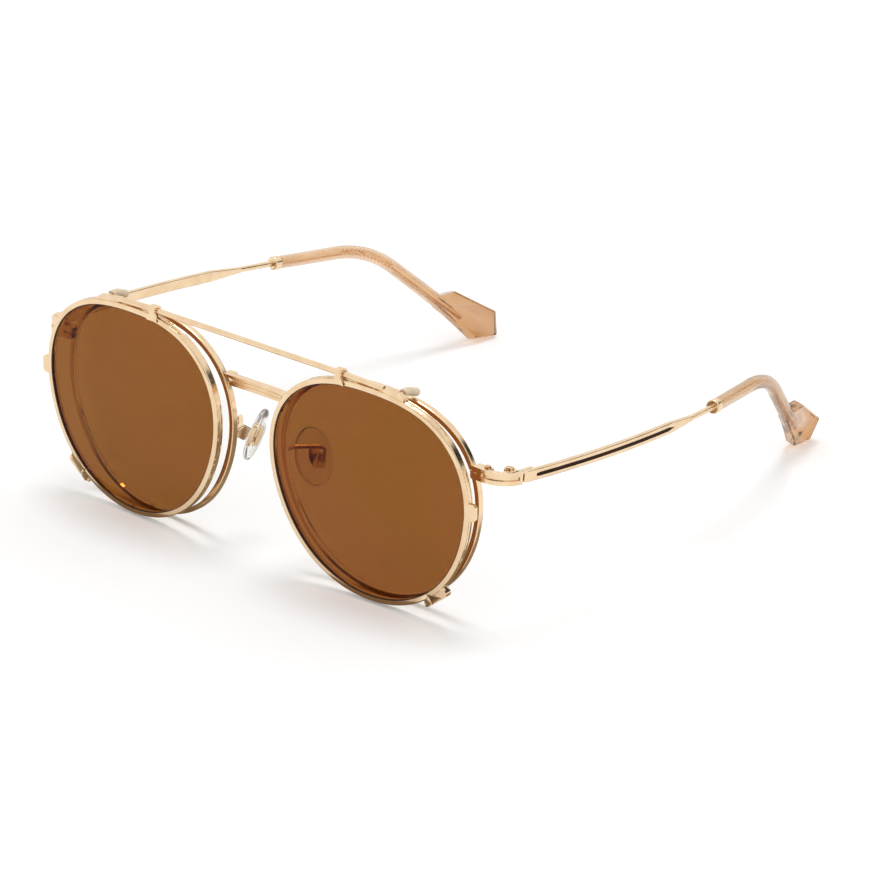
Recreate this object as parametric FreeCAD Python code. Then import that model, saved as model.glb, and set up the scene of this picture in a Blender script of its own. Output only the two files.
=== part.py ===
"""Round metal spectacles with a clip-on sun front: optical frame, folding temples, clip.

Millimetres.  +Z is up, +X is the wearer's left, the wearer looks along -Y.  The set stands
on the lower edges of its rims and on the paddles of its temple tips, and the origin is the
middle of the bounding box at that level.
"""
import FreeCAD, Part
import math
import os

V = FreeCAD.Vector
ORIGIN = V(0, 0, 0)
X_AXIS = V(1, 0, 0)
Y_AXIS = V(0, 1, 0)
Z_AXIS = V(0, 0, 1)

# ---------------------------------------------------------------- driving sizes
# Lens shape: a soft panto, wider than tall, flat at the brow.  The four shares bend a circle.
LENS_WIDTH = 49.0            # clip opening, nose to temple
LENS_HEIGHT = 46.8           # clip opening, top to bottom
LENS_PITCH = 65.5            # between the centres of the two clip openings
LENS_X = LENS_PITCH / 2
SHAPE_OVAL = 0.019
SHAPE_CANT = -0.015
SHAPE_PANTO = 0.036
SHAPE_SQUARE = -0.0155
OUTLINE_POINTS = 24

# How the front stands
FRONT_TILT = 4.32            # degrees, top of the front leans forward
FRONT_WRAP = 3.0             # degrees, temple side of each clip lens goes back
LENS_CENTRE_HEIGHT = LENS_HEIGHT / 2 + 1.16  # clip opening centre above the table, up the front
FRAME_EXTRA_WRAP = 1.2       # degrees, the optical rims wrap a little more than the clip

# Clip rims and sun lenses
CLIP_RIM_WIDTH = 1.1         # radial
CLIP_RIM_DEPTH = 1.9
RIM_EDGE_ROUND = 0.3
GROOVE_DEPTH = 0.45
LENS_SEAT = 0.05             # play of the lens edge in its groove
SUN_LENS_THICKNESS = 1.1
SUN_LENS_RADIUS = 265.0      # nearly flat base curve
LENS_EDGE = 0.6              # thickness of the bevel that sits in the groove

# Optical rims and lenses
FRAME_SETBACK = 5.1          # clip front plane to optical rim front plane
FRAME_INSET = 0.5            # optical opening is this much smaller all round
FRAME_DROP = 1.3             # optical opening centre below the clip opening centre
FRAME_INWARD = 0.7           # optical opening centre nearer the nose
EYEWIRE_WIDTH = 1.1
EYEWIRE_DEPTH = 1.6
OPTICAL_LENS_THICKNESS = 1.3
OPTICAL_LENS_RADIUS = 140.0
SAW_CUT = 0.25               # slit where a rim is closed round its lens

# Clip hardware
BAR_RADIUS = 0.62
BAR_RISE = 1.21              # bar centre above the top of the clip rim, at its posts
BAR_SETBACK = 0.5            # bar centre behind the clip front plane
BAR_END_X = LENS_X + 3.85    # where the bar lies down on the rim
BAR_BEND_X = LENS_X - 5.15   # where it leaves the straight stretch
POST_X = LENS_X - 7.15
POST_WIDTH = 1.6
POST_THICKNESS = 0.55
POST_CLEARANCE = 0.06        # bar in the eye of its post
POST_FOOT = 3.0              # flared foot of the post on the rim
POST_FOOT_DROP = 0.9
POST_FOOT_RISE = 0.7
HOOK_X = LENS_X + 7.35
HOOK_WIRE_RADIUS = 0.45
HOOK_REACH = 6.7             # clip front plane to the tip of the hook
HOOK_DROP_LENGTH = 3.0       # last stretch of the hook, which droops
HOOK_RISE_CLEARANCE = 0.25   # tip of the sleeve above the optical rim
SLEEVE_RADIUS = 0.9
HOOK_PLATE_THICKNESS = 0.8
HOOK_PLATE_PAST = 1.9        # plate past the hook
TAB_ANGLE = 5.3              # side tab, degrees round the lens from the temple side
TAB_LENGTH = 3.9
TAB_HEIGHT = 1.6             # out from the rim
TAB_THICKNESS = 0.8
TAB_ROUND = 0.8
LOCK_ANGLE = -52.5           # closing block of the clip rim
LOCK_LUG = 1.6               # short lug along the rim, with the screw head
LOCK_LONG_LUG = 4.6          # other lug, rounded at its end
LOCK_HEIGHT = 1.5            # lug out from the rim
LOCK_ROUND = 0.9
LOCK_SCREW_RADIUS = 0.4
LOCK_HEAD_RADIUS = 0.7

# Bridge
BRIDGE_HEIGHT_END = LENS_CENTRE_HEIGHT + 12.79   # up the tilted front
BRIDGE_HEIGHT_CENTRE = BRIDGE_HEIGHT_END + 0.3
BRIDGE_BAND = 2.35
BRIDGE_THICKNESS = 1.3
BRIDGE_SETBACK = 1.2         # front face of the bridge forward of the optical rims' front plane
BRIDGE_INTO_RIM = 3.75       # ends inside the rims, before they are cut away
BRIDGE_HALF_SPAN = LENS_X - LENS_WIDTH / 2 + BRIDGE_INTO_RIM
BRIDGE_FORK = 3.4            # length of the open fork at each end
BRIDGE_GROOVE_BEND = 70.0
BRIDGE_GROOVE_RADIUS = 0.2
BRIDGE_FORK_RISE = 0.25      # fork above the middle of the band

# Nose pads
PAD_CENTRE = V(LENS_X - LENS_WIDTH / 2 + 2.55, 9.6, LENS_CENTRE_HEIGHT - 1.96)
PAD_YAW = -25.0
PAD_PITCH = -23.0
PAD_SPLAY = -13.0
PAD_LENGTH = 13.4
PAD_WIDTH = 7.4
PAD_THICKNESS = 2.4
PAD_BACK = 1.3               # pad back from the rocking axis
PAD_ROUND = 0.9
PAD_SCREW_RADIUS = 0.32
RUNNING_CLEARANCE = 0.07     # screw in a turning knuckle
STEM_RADIUS = 0.85
STEM_THICKNESS = 0.8
CHEEK_THICKNESS = 0.45
CHEEK_GAP = 0.12             # stem to cheek
BOX_LENGTH = 2.8
BOX_BACK = 1.35
PAD_ARM_RADIUS = 0.5

# Hinge and temple
HINGE_OUT = 4.35             # pin outside the clip opening
HINGE_RISE = 9.89            # pin above the centre of the clip opening
HINGE_POINT = V(LENS_X + LENS_WIDTH / 2 + HINGE_OUT, 8.0, LENS_CENTRE_HEIGHT + HINGE_RISE)
TEMPLE_DROP = 3.8            # degrees, temple slopes down to the ear
KNUCKLE_RADIUS = 1.2
KNUCKLE_GAP = 0.06           # between knuckles along the pin
HINGE_HEIGHT = 2.9
MIDDLE_KNUCKLE = 1.0
HINGE_SCREW_RADIUS = 0.55
HINGE_HEAD_RADIUS = 0.9
HINGE_HEAD_HEIGHT = 0.35
LEAF_THICKNESS = 0.8
LEAF_LENGTH = 4.2
FRONT_LEAF_LENGTH = 1.3
WEB_BACK = 0.6               # web of the middle knuckle, clear of the endpiece
LEAF_HEIGHT = 2.2
HINGE_OFFSET = 1.8           # pin centre to the inner face of temple and endpiece
JOINT_GAP = 0.3              # open gap between endpiece and temple
JOINT_BACK = 1.1             # that gap is behind the pin
TEMPLE_THICKNESS = 1.2
TEMPLE_HEIGHT = 2.5
TEMPLE_NOSE = 1.6            # tapered start of the temple
TEMPLE_MID = 37.2            # where the bow of the temple peaks
TEMPLE_MID_OUT = 5.2         # corner of the bow, out from the pin
TEMPLE_BOW_RADIUS = 280.0
BAR_LENGTH = 51.9            # full height up to here
TAPER_LENGTH = 9.0
NECK_RADIUS = 0.65
NECK_LENGTH = 9.8            # round neck between the taper and the ferrule
TIP_START = BAR_LENGTH + TAPER_LENGTH + NECK_LENGTH
TIP_START_X = 0.7            # from the pin, sideways
FERRULE_LENGTH = 2.2
FERRULE_RADIUS = 1.6
INLAY_START = 5.0
INLAY_HEIGHT = 0.85
INLAY_DEPTH = 0.45
BEND_LENGTH = TIP_START + 28.2   # pin to the bend behind the ear
BEND_X = -4.6
BEND_RADIUS = 29.0
BEND_ANGLE = 35.6            # degrees down behind the ear
TIP_INWARD = 18.4            # degrees, tip turns in behind the ear
TIP_RADIUS_START = 1.45
TIP_RADIUS_END = 1.7
TIP_TUBE_LENGTH = 30.0       # bend corner to the paddle
PADDLE_TWIST = 20.0
PADDLE_THICKNESS = 2.8
PADDLE_ROUND = 0.5
CORE_LENGTH = 34.0           # bend corner to the end of the core wire

# Endpiece
ENDPIECE_HEIGHT = 2.7
ENDPIECE_THICKNESS = 1.2
ENDPIECE_CORNER = 5.4        # radius of the turn, middle line
ENDPIECE_TURN = V(0.8, -4.6, 0)    # corner of its middle line, from the pin
ENDPIECE_ON_RIM = LENS_WIDTH / 2 - 1.5   # start of its middle line, from the lens centre
ENDPIECE_SUNK = 0.25         # rear face behind the rim's front plane
ENDPIECE_GROOVE = 0.8
ENDPIECE_GROOVE_DEPTH = 0.45
ENDPIECE_FORK = 1.9
RIM_BLOCK_LENGTH = 3.9
RIM_BLOCK_DEPTH = 1.9
RIM_SCREW_AT = V(-3.5, -2.8, 0)     # from the pin
RIM_SCREW_RADIUS = 0.45
RIM_SCREW_HEAD = 0.75

# ---------------------------------------------------------------- helpers
def moved(shape, placement):
    """Copy of a shape carried by a placement."""
    return shape.transformed(placement.toMatrix())


def shifted(x, y, z):
    return FreeCAD.Placement(V(x, y, z), FreeCAD.Rotation())


def turned(axis, degrees):
    return FreeCAD.Placement(ORIGIN, FreeCAD.Rotation(axis, degrees))


def mirrored(shape):
    return shape.mirror(ORIGIN, X_AXIS)


def box(x0, x1, y0, y1, z0, z1):
    return Part.makeBox(x1 - x0, y1 - y0, z1 - z0, V(x0, y0, z0))


def polar_unit(angle):
    """Radius of the lens shape about its centre, as a share of the mean radius."""
    return (1 + SHAPE_OVAL * math.cos(2 * angle) + SHAPE_CANT * math.sin(2 * angle)
            + SHAPE_PANTO * math.sin(3 * angle) + SHAPE_SQUARE * math.cos(4 * angle))


def unit_point(angle):
    radius = polar_unit(angle)
    return radius * math.cos(angle), radius * math.sin(angle)


def shape_extents(steps=360):
    points = [unit_point(2 * math.pi * i / steps) for i in range(steps)]
    xs = [p[0] for p in points]
    zs = [p[1] for p in points]
    return min(xs), max(xs), min(zs), max(zs)


X_LOW, X_HIGH, Z_LOW, Z_HIGH = shape_extents()


def rim_point(degrees, offset):
    """Point and outward normal of the lens opening, offset outwards, in the lens frame."""
    def on_opening(angle):
        x, z = unit_point(angle)
        return V((x - (X_LOW + X_HIGH) / 2) * LENS_WIDTH / (X_HIGH - X_LOW), 0,
                 (z - (Z_LOW + Z_HIGH) / 2) * LENS_HEIGHT / (Z_HIGH - Z_LOW))
    angle = math.radians(degrees)
    step = 0.001
    along = on_opening(angle + step) - on_opening(angle - step)
    along.normalize()
    outward = V(along.z, 0, -along.x)
    return on_opening(angle) + outward * offset, outward


def outline(offset, y=0.0):
    """Closed smooth wire: the lens opening offset outwards by `offset`, at depth y."""
    points = [rim_point(360.0 * i / OUTLINE_POINTS, offset)[0] + V(0, y, 0)
              for i in range(OUTLINE_POINTS)]
    curve = Part.BSplineCurve()
    curve.interpolate(Points=points, PeriodicFlag=True)
    return Part.Wire(curve.toShape())


def disc(offset, y0, y1):
    return Part.Face(outline(offset, y0)).extrude(V(0, y1 - y0, 0))


def ring(inner, outer, y0, y1):
    return disc(outer, y0, y1).cut(disc(inner, y0 - 1, y1 + 1))


def fillet_where(solid, radius, wanted):
    """Round the edges whose middle point satisfies `wanted`."""
    edges = [e for e in solid.Edges if wanted(e.valueAt((e.FirstParameter + e.LastParameter) / 2))]
    return solid.makeFillet(radius, edges)


def rounded_path(points, radii):
    """Wire of straight runs joined by tangent arcs; radii belong to the inner points."""
    edges = []
    start = points[0]
    for i in range(1, len(points) - 1):
        before = (points[i] - points[i - 1]).normalize()
        after = (points[i + 1] - points[i]).normalize()
        turn = before.getAngle(after)
        tangent = radii[i - 1] * math.tan(turn / 2)
        first = points[i] - before * tangent
        last = points[i] + after * tangent
        inward = (after - before).normalize()
        bulge = radii[i - 1] * (1 / math.cos(turn / 2) - 1)
        if (first - start).Length > 1e-4:
            edges.append(Part.LineSegment(start, first).toShape())
        edges.append(Part.Arc(first, points[i] + inward * bulge, last).toShape())
        start = last
    edges.append(Part.LineSegment(start, points[-1]).toShape())
    return Part.Wire(edges)


def section(centre, direction, radius):
    return Part.Wire(Part.Circle(centre, direction, radius).toShape())


def wire_rod(points, radii, radius, end_radius=None):
    """Round rod along a rounded path, with an optional taper."""
    path = rounded_path(points, radii)
    shell = Part.BRepOffsetAPI.MakePipeShell(path)
    shell.add(section(points[0], points[1] - points[0], radius))
    if end_radius is not None:
        shell.add(section(points[-1], points[-1] - points[-2], end_radius))
    shell.build()
    shell.makeSolid()
    return shell.shape()


# ---------------------------------------------------------------- places
FRONT = turned(X_AXIS, FRONT_TILT)
CLIP_LENS = (FRONT * shifted(LENS_X, 0, LENS_CENTRE_HEIGHT)
             * turned(Z_AXIS, FRONT_WRAP))
OPTICAL_LENS = (CLIP_LENS * shifted(-FRAME_INWARD, FRAME_SETBACK, -FRAME_DROP)
                * turned(Z_AXIS, FRAME_EXTRA_WRAP))
HINGE = FreeCAD.Placement(HINGE_POINT, FreeCAD.Rotation(X_AXIS, -TEMPLE_DROP))
HOOK_WRAP = math.sin(math.radians(FRONT_WRAP)) * (HOOK_X - LENS_X)
PAD = FreeCAD.Placement(PAD_CENTRE, FreeCAD.Rotation(Y_AXIS, PAD_SPLAY)
                        * FreeCAD.Rotation(X_AXIS, PAD_PITCH)
                        * FreeCAD.Rotation(Z_AXIS, PAD_YAW))


# ---------------------------------------------------------------- rims and lenses
def grooved_rim(opening, width, depth):
    """Rim ring with rounded outer edges and a groove for the lens bevel."""
    outer = opening + width
    rim = ring(opening, outer, 0, depth)
    reach = width / 2

    def on_outside(p):
        return is_outside(p, opening + reach)
    rim = fillet_where(rim, RIM_EDGE_ROUND, on_outside)
    groove_half = LENS_EDGE / 2 + LENS_SEAT
    middle = depth / 2
    groove = disc(opening + GROOVE_DEPTH, middle - groove_half, middle + groove_half)
    return rim.cut(groove)


def is_outside(point, offset):
    """True for a point beyond the opening outline offset by `offset`."""
    best = None
    for i in range(0, 360, 3):
        base, outward = rim_point(i, offset)
        gap = (V(point.x, 0, point.z) - base)
        if best is None or gap.Length < best[0]:
            best = (gap.Length, gap.dot(outward))
    return best[1] > 0


def domed_lens(opening, depth, thickness, radius):
    """Lens with two spherical faces and a flat bevel that sits in the rim's groove."""
    middle = depth / 2
    bevel = disc(opening + GROOVE_DEPTH - LENS_SEAT, middle - LENS_EDGE / 2, middle + LENS_EDGE / 2)
    half = LENS_WIDTH / 2
    rise = radius - math.sqrt(radius * radius - half * half)
    front = middle - thickness / 2 - rise
    body = disc(opening - LENS_SEAT, front - 1, middle + thickness)
    ball = Part.makeSphere(radius, V(0, front + radius, 0), Y_AXIS)
    hollow = Part.makeSphere(radius, V(0, front + thickness + radius, 0), Y_AXIS)
    return body.common(ball).cut(hollow).fuse(bevel).removeSplitter()


def rim_frame(degrees, offset):
    """Placement on a rim: local X along the rim, Y to the rear, Z outwards."""
    point, outward = rim_point(degrees, offset)
    along = Y_AXIS.cross(outward)
    matrix = FreeCAD.Matrix(along.x, 0, outward.x, point.x,
                            along.y, 1, outward.y, point.y,
                            along.z, 0, outward.z, point.z, 0, 0, 0, 1)
    return FreeCAD.Placement(matrix)


def clip_rim():
    rim = grooved_rim(0, CLIP_RIM_WIDTH, CLIP_RIM_DEPTH)
    place = rim_frame(LOCK_ANGLE, CLIP_RIM_WIDTH)
    lugs = box(-LOCK_LONG_LUG - SAW_CUT / 2, LOCK_LUG + SAW_CUT / 2, 0.1, CLIP_RIM_DEPTH - 0.1,
               -CLIP_RIM_WIDTH / 2, LOCK_HEIGHT)
    lugs = fillet_where(lugs, LOCK_ROUND, lambda p: p.z > LOCK_HEIGHT - 0.01
                        and p.x < -LOCK_LONG_LUG)
    rim = rim.fuse(moved(lugs, place))
    slit = box(-SAW_CUT / 2, SAW_CUT / 2, -1, CLIP_RIM_DEPTH + 1, -CLIP_RIM_WIDTH - 1,
               LOCK_HEIGHT + 1)
    hole = lock_screw_body()
    return rim.cut(moved(slit, place)).cut(hole)


def lock_screw_body():
    """Screw of the clip's closing block, along the rim, in the lens frame."""
    centre_z = LOCK_HEIGHT / 2 + 0.05
    centre_y = CLIP_RIM_DEPTH / 2
    end = LOCK_LUG + SAW_CUT / 2
    shaft = Part.makeCylinder(LOCK_SCREW_RADIUS, 2 * end, V(-end, centre_y, centre_z), X_AXIS)
    head = Part.makeCylinder(LOCK_HEAD_RADIUS, 0.55, V(end, centre_y, centre_z), X_AXIS)
    head = head.cut(box(end + 0.3, end + 1, centre_y - 0.09, centre_y + 0.09,
                        centre_z - 1, centre_z + 1))
    return moved(shaft.fuse(head), rim_frame(LOCK_ANGLE, CLIP_RIM_WIDTH))


def sun_lens():
    return domed_lens(0, CLIP_RIM_DEPTH, SUN_LENS_THICKNESS, SUN_LENS_RADIUS)


def optical_lens():
    return domed_lens(-FRAME_INSET, EYEWIRE_DEPTH, OPTICAL_LENS_THICKNESS, OPTICAL_LENS_RADIUS)


# ---------------------------------------------------------------- clip hardware
def rim_height_at(x):
    """Top of the clip rim above the table, along the tilted front, at a distance x."""
    best = None
    for i in range(40, 141):
        point, _ = rim_point(i, CLIP_RIM_WIDTH)
        world = point.x + LENS_X
        if best is None or abs(world - x) < best[0]:
            best = (abs(world - x), point.z + LENS_CENTRE_HEIGHT)
    return best[1]


def bar_height():
    """Middle of the bar above the table, along the tilted front."""
    return rim_height_at(POST_X) + BAR_RISE


def brow_bar():
    """One rod from rim to rim over the bridge, bent down where it leaves each post."""
    end_z = rim_height_at(BAR_END_X) + BAR_RADIUS
    right = [V(BAR_BEND_X, BAR_SETBACK, bar_height()), V(BAR_END_X, CLIP_RIM_DEPTH / 2, end_z)]
    left = [V(-p.x, p.y, p.z) for p in reversed(right)]
    bar = wire_rod(left + right, [6.0, 6.0], BAR_RADIUS)
    return moved(bar, FRONT)


def brow_post():
    """Strap that rises from the rim and curls into an eye round the bar."""
    eye_inner = BAR_RADIUS + POST_CLEARANCE
    eye_outer = eye_inner + POST_THICKNESS
    x0 = POST_X - POST_WIDTH / 2
    rim_top = rim_height_at(POST_X)
    eye_z = bar_height()
    foot_low = rim_top - POST_FOOT_DROP
    foot_high = rim_top + POST_FOOT_RISE
    eye = Part.makeCylinder(eye_outer, POST_WIDTH, V(x0, BAR_SETBACK, eye_z), X_AXIS)
    strap = box(x0, x0 + POST_WIDTH, BAR_SETBACK - eye_outer, BAR_SETBACK - eye_inner,
                foot_low, eye_z)
    foot_y = BAR_SETBACK - eye_outer
    foot = Part.Face(Part.makePolygon([
        V(POST_X - POST_FOOT / 2, foot_y, foot_low), V(POST_X + POST_FOOT / 2, foot_y, foot_low),
        V(POST_X + POST_WIDTH / 2, foot_y, foot_high), V(POST_X - POST_WIDTH / 2, foot_y, foot_high),
        V(POST_X - POST_FOOT / 2, foot_y, foot_low)])).extrude(V(0, POST_THICKNESS, 0))
    post = eye.fuse([strap, foot])
    post = post.cut(Part.makeCylinder(eye_inner, POST_WIDTH + 2, V(x0 - 1, BAR_SETBACK, eye_z),
                                      X_AXIS))
    mouth = box(x0 - 1, x0 + POST_WIDTH + 1, BAR_SETBACK - eye_inner, BAR_SETBACK,
                eye_z - eye_outer - 1, eye_z - 0.2)
    return moved(post.cut(mouth), FRONT)


def hook_points():
    """Middle line of the top hook in the tilted front, from inside its plate to the tip."""
    plate_z = rim_height_at(HOOK_X) + HOOK_PLATE_THICKNESS / 2
    end_z = optical_rim_height_at(HOOK_X) + HOOK_RISE_CLEARANCE + SLEEVE_RADIUS
    return [V(HOOK_X, HOOK_WIRE_RADIUS + 0.3, plate_z),
            V(HOOK_X, HOOK_REACH + HOOK_WRAP - HOOK_DROP_LENGTH, plate_z + 0.1),
            V(HOOK_X, HOOK_REACH + HOOK_WRAP, end_z)]


def optical_rim_height_at(x):
    best = None
    for i in range(40, 141):
        point, _ = rim_point(i, EYEWIRE_WIDTH - FRAME_INSET)
        world = point.x + LENS_X - FRAME_INWARD
        if best is None or abs(world - x) < best[0]:
            best = (abs(world - x), point.z + LENS_CENTRE_HEIGHT - FRAME_DROP)
    return best[1]


def top_hook():
    """Plate on the rim with the hook wire that passes over the optical rim."""
    wire = wire_rod(hook_points(), [3.0], HOOK_WIRE_RADIUS)
    x0 = BAR_END_X - 0.6
    x1 = HOOK_X + HOOK_PLATE_PAST
    steps = 6
    low = []
    for i in range(steps + 1):
        x = x0 + (x1 - x0) * i / steps
        low.append(V(x, 0, rim_height_at(x)))
    up = V(0, 0, HOOK_PLATE_THICKNESS)
    under = Part.BSplineCurve()
    under.interpolate(low)
    over = Part.BSplineCurve()
    over.interpolate([p + up for p in low])
    sides = [Part.LineSegment(low[0], low[0] + up).toShape(),
             Part.LineSegment(low[-1], low[-1] + up).toShape()]
    face = Part.Face(Part.Wire(Part.__sortEdges__([under.toShape(), over.toShape()] + sides)))
    plate = face.extrude(V(0, CLIP_RIM_DEPTH - 0.2, 0))
    plate.translate(V(0, 0.1 + HOOK_WRAP, 0))
    return moved(plate.fuse(wire), FRONT)


def hook_sleeve():
    """Soft tube pushed over the hook wire, closed and rounded at its tip."""
    points = hook_points()
    start = points[0] + (points[1] - points[0]).normalize() * (CLIP_RIM_DEPTH + 0.1)
    end = points[-1] + (points[-1] - points[-2]).normalize() * 0.5
    sleeve = wire_rod([start, points[1], end], [3.0], SLEEVE_RADIUS)
    sleeve = fillet_where(sleeve, 0.5, lambda p: p.y > end.y - 0.9 and abs(p.y - end.y) < 0.6
                          and (p - end).Length < SLEEVE_RADIUS + 0.1)
    return moved(sleeve, FRONT)


def side_tab():
    """Flat grip tab that stands out from the temple side of the clip rim."""
    half = TAB_LENGTH / 2
    tab = box(-half, half, 0.15, 0.15 + TAB_THICKNESS, -CLIP_RIM_WIDTH / 2, TAB_HEIGHT)
    tab = fillet_where(tab, TAB_ROUND, lambda p: p.z > TAB_HEIGHT - 0.01
                       and abs(abs(p.x) - half) < 0.01)
    return moved(tab, rim_frame(TAB_ANGLE, CLIP_RIM_WIDTH))


# ---------------------------------------------------------------- bridge
def bridge():
    """Arched band between the optical rims, forked where it meets them, with two ridges."""
    y0 = FRAME_SETBACK - BRIDGE_SETBACK
    half = BRIDGE_HALF_SPAN
    low_end = V(-half, y0, BRIDGE_HEIGHT_END - BRIDGE_BAND / 2)
    low_mid = V(0, y0, BRIDGE_HEIGHT_CENTRE - BRIDGE_BAND / 2)
    high_end = low_end + V(0, 0, BRIDGE_BAND)
    high_mid = low_mid + V(0, 0, BRIDGE_BAND)
    under = Part.Arc(low_end, low_mid, V(half, y0, low_end.z)).toShape()
    over = Part.Arc(high_end, high_mid, V(half, y0, high_end.z)).toShape()
    sides = [Part.LineSegment(low_end, high_end).toShape(),
             Part.LineSegment(V(half, y0, low_end.z), V(half, y0, high_end.z)).toShape()]
    band = Part.Face(Part.Wire(Part.__sortEdges__([under, over] + sides)))
    band = band.extrude(V(0, BRIDGE_THICKNESS, 0))
    for share in (-0.17, 0.17):
        rise = BRIDGE_BAND * share
        groove = wire_rod([V(-half, y0, BRIDGE_HEIGHT_END + rise), V(0, y0, BRIDGE_HEIGHT_CENTRE * 2
                           - BRIDGE_HEIGHT_END + rise), V(half, y0, BRIDGE_HEIGHT_END + rise)],
                          [BRIDGE_GROOVE_BEND], BRIDGE_GROOVE_RADIUS)
        band = band.cut(groove)
    rim_edge = bridge_rim_edge()
    tip = rim_edge - BRIDGE_FORK
    fork_z = BRIDGE_HEIGHT_END + BRIDGE_FORK_RISE
    gap = Part.Face(Part.makePolygon([
        V(tip, y0 - 1, fork_z), V(rim_edge + 0.8, y0 - 1, fork_z + 0.5),
        V(rim_edge + 0.8, y0 - 1, fork_z - 0.65), V(tip, y0 - 1, fork_z)]))
    gap = gap.extrude(V(0, BRIDGE_THICKNESS + 2, 0))
    tab = box(rim_edge - 1.3, rim_edge + 0.8, y0 + BRIDGE_THICKNESS - 0.1, y0 + BRIDGE_THICKNESS + 1.2,
              BRIDGE_HEIGHT_END + 0.3, BRIDGE_HEIGHT_END + BRIDGE_BAND / 2)
    band = band.cut(gap).cut(mirrored(gap)).fuse([tab, mirrored(tab)])
    return moved(band, FRONT)


def seat_on(piece, rim, opening, place):
    """Piece cut back to the outside of a rim so that it seats on it face to face."""
    inside = moved(disc(opening, -6, 9), place)
    return largest(piece.cut(inside).cut(rim))


def largest(shape):
    return max(shape.Solids, key=lambda solid: solid.Volume)


def bridge_rim_edge():
    """Distance from the middle to the optical rim's outer edge at the bridge's height."""
    best = None
    for i in range(100, 200):
        point, _ = rim_point(i, EYEWIRE_WIDTH - FRAME_INSET)
        gap = abs(point.z + LENS_CENTRE_HEIGHT - FRAME_DROP - BRIDGE_HEIGHT_END)
        if best is None or gap < best[0]:
            best = (gap, point.x + LENS_X - FRAME_INWARD)
    return best[1]


# ---------------------------------------------------------------- nose pads
def nose_pad():
    """Soft oval pad, crowned on the nose side, with a socket for the metal stem."""
    face = Part.Face(Part.Wire(Part.Ellipse(ORIGIN, PAD_LENGTH / 2, PAD_WIDTH / 2).toShape()))
    pad = face.extrude(V(0, 0, PAD_THICKNESS))
    pad = fillet_where(pad, PAD_ROUND, lambda p: True)
    pad = moved(pad, FreeCAD.Placement(V(-PAD_BACK, 0, 0), FreeCAD.Rotation(Y_AXIS, -90)))
    return moved(pad.cut(pad_stem_local()), PAD)


def pad_stem_local():
    eye = Part.makeCylinder(STEM_RADIUS, STEM_THICKNESS, V(0, -STEM_THICKNESS / 2, 0), Y_AXIS)
    neck = box(-PAD_BACK - 0.8, 0, -STEM_THICKNESS / 2, STEM_THICKNESS / 2, -0.6, 0.6)
    stem = eye.fuse(neck).removeSplitter()
    bore = Part.makeCylinder(PAD_SCREW_RADIUS + RUNNING_CLEARANCE, 4, V(0, -2, 0), Y_AXIS)
    return stem.cut(bore)


def pad_screw_local():
    inner = STEM_THICKNESS / 2 + CHEEK_GAP
    outer = inner + CHEEK_THICKNESS
    shaft = Part.makeCylinder(PAD_SCREW_RADIUS, 2 * outer, V(0, -outer, 0), Y_AXIS)
    head = Part.makeCylinder(PAD_SCREW_RADIUS + 0.25, 0.3, V(0, outer, 0), Y_AXIS)
    slot = box(-0.08, 0.08, outer + 0.15, outer + 1, -1, 1)
    return shaft.fuse(head).cut(slot)


def pad_box_local():
    """U-shaped box: a back plate and two cheeks that hold the screw."""
    inner = STEM_THICKNESS / 2 + CHEEK_GAP
    outer = inner + CHEEK_THICKNESS
    half = BOX_LENGTH / 2
    body = box(-0.85, BOX_BACK, -outer, outer, -half, half)
    body = fillet_where(body, 0.25, lambda p: abs(abs(p.y) - outer) < 0.01 and p.x > BOX_BACK - 0.01)
    channel = box(-2, BOX_BACK - 0.4, -inner, inner, -half - 1, half + 1)
    return body.cut(channel).cut(pad_screw_local())


def pad_arm():
    """Bent wire from the back of the optical rim to the pad box."""
    root, outward = rim_point(176, EYEWIRE_WIDTH / 2 - FRAME_INSET)
    start = OPTICAL_LENS.multVec(V(root.x, EYEWIRE_DEPTH - 0.1, root.z))
    seat = PAD.multVec(V(BOX_BACK - 0.05, 0, 0.2))
    behind = PAD.multVec(V(BOX_BACK + 0.95, 0, 0.2))
    above = PAD.multVec(V(BOX_BACK + 0.95, 0, 3.0))
    points = [start, start + V(0.2, 2.0, 0.1), above, behind, seat]
    return wire_rod(points, [1.2, 1.0, 0.8], PAD_ARM_RADIUS)


# ---------------------------------------------------------------- hinge
def knuckle(z0, z1, bore):
    body = Part.makeCylinder(KNUCKLE_RADIUS, z1 - z0, V(0, 0, z0))
    return body.cut(Part.makeCylinder(bore, z1 - z0 + 2, V(0, 0, z0 - 1)))


def front_leaf_local():
    """Leaf soldered inside the endpiece, with the upper and lower knuckles."""
    top = HINGE_HEIGHT / 2
    middle = MIDDLE_KNUCKLE / 2 + KNUCKLE_GAP
    clear = KNUCKLE_RADIUS + 0.15
    tall = ENDPIECE_HEIGHT / 2
    plate = box(0.1, HINGE_OFFSET, -clear - FRONT_LEAF_LENGTH, -clear, -tall, tall)
    leaf = plate
    for z0, z1 in ((middle, top), (-top, -middle)):
        web = box(0.3, HINGE_OFFSET, -clear - 0.1, JOINT_BACK - JOINT_GAP, z0, z1)
        web = web.cut(Part.makeCylinder(HINGE_SCREW_RADIUS, 2 * HINGE_HEIGHT, V(0, 0, -HINGE_HEIGHT)))
        leaf = leaf.fuse([knuckle(z0, z1, HINGE_SCREW_RADIUS), web])
    return leaf.removeSplitter()


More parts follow.
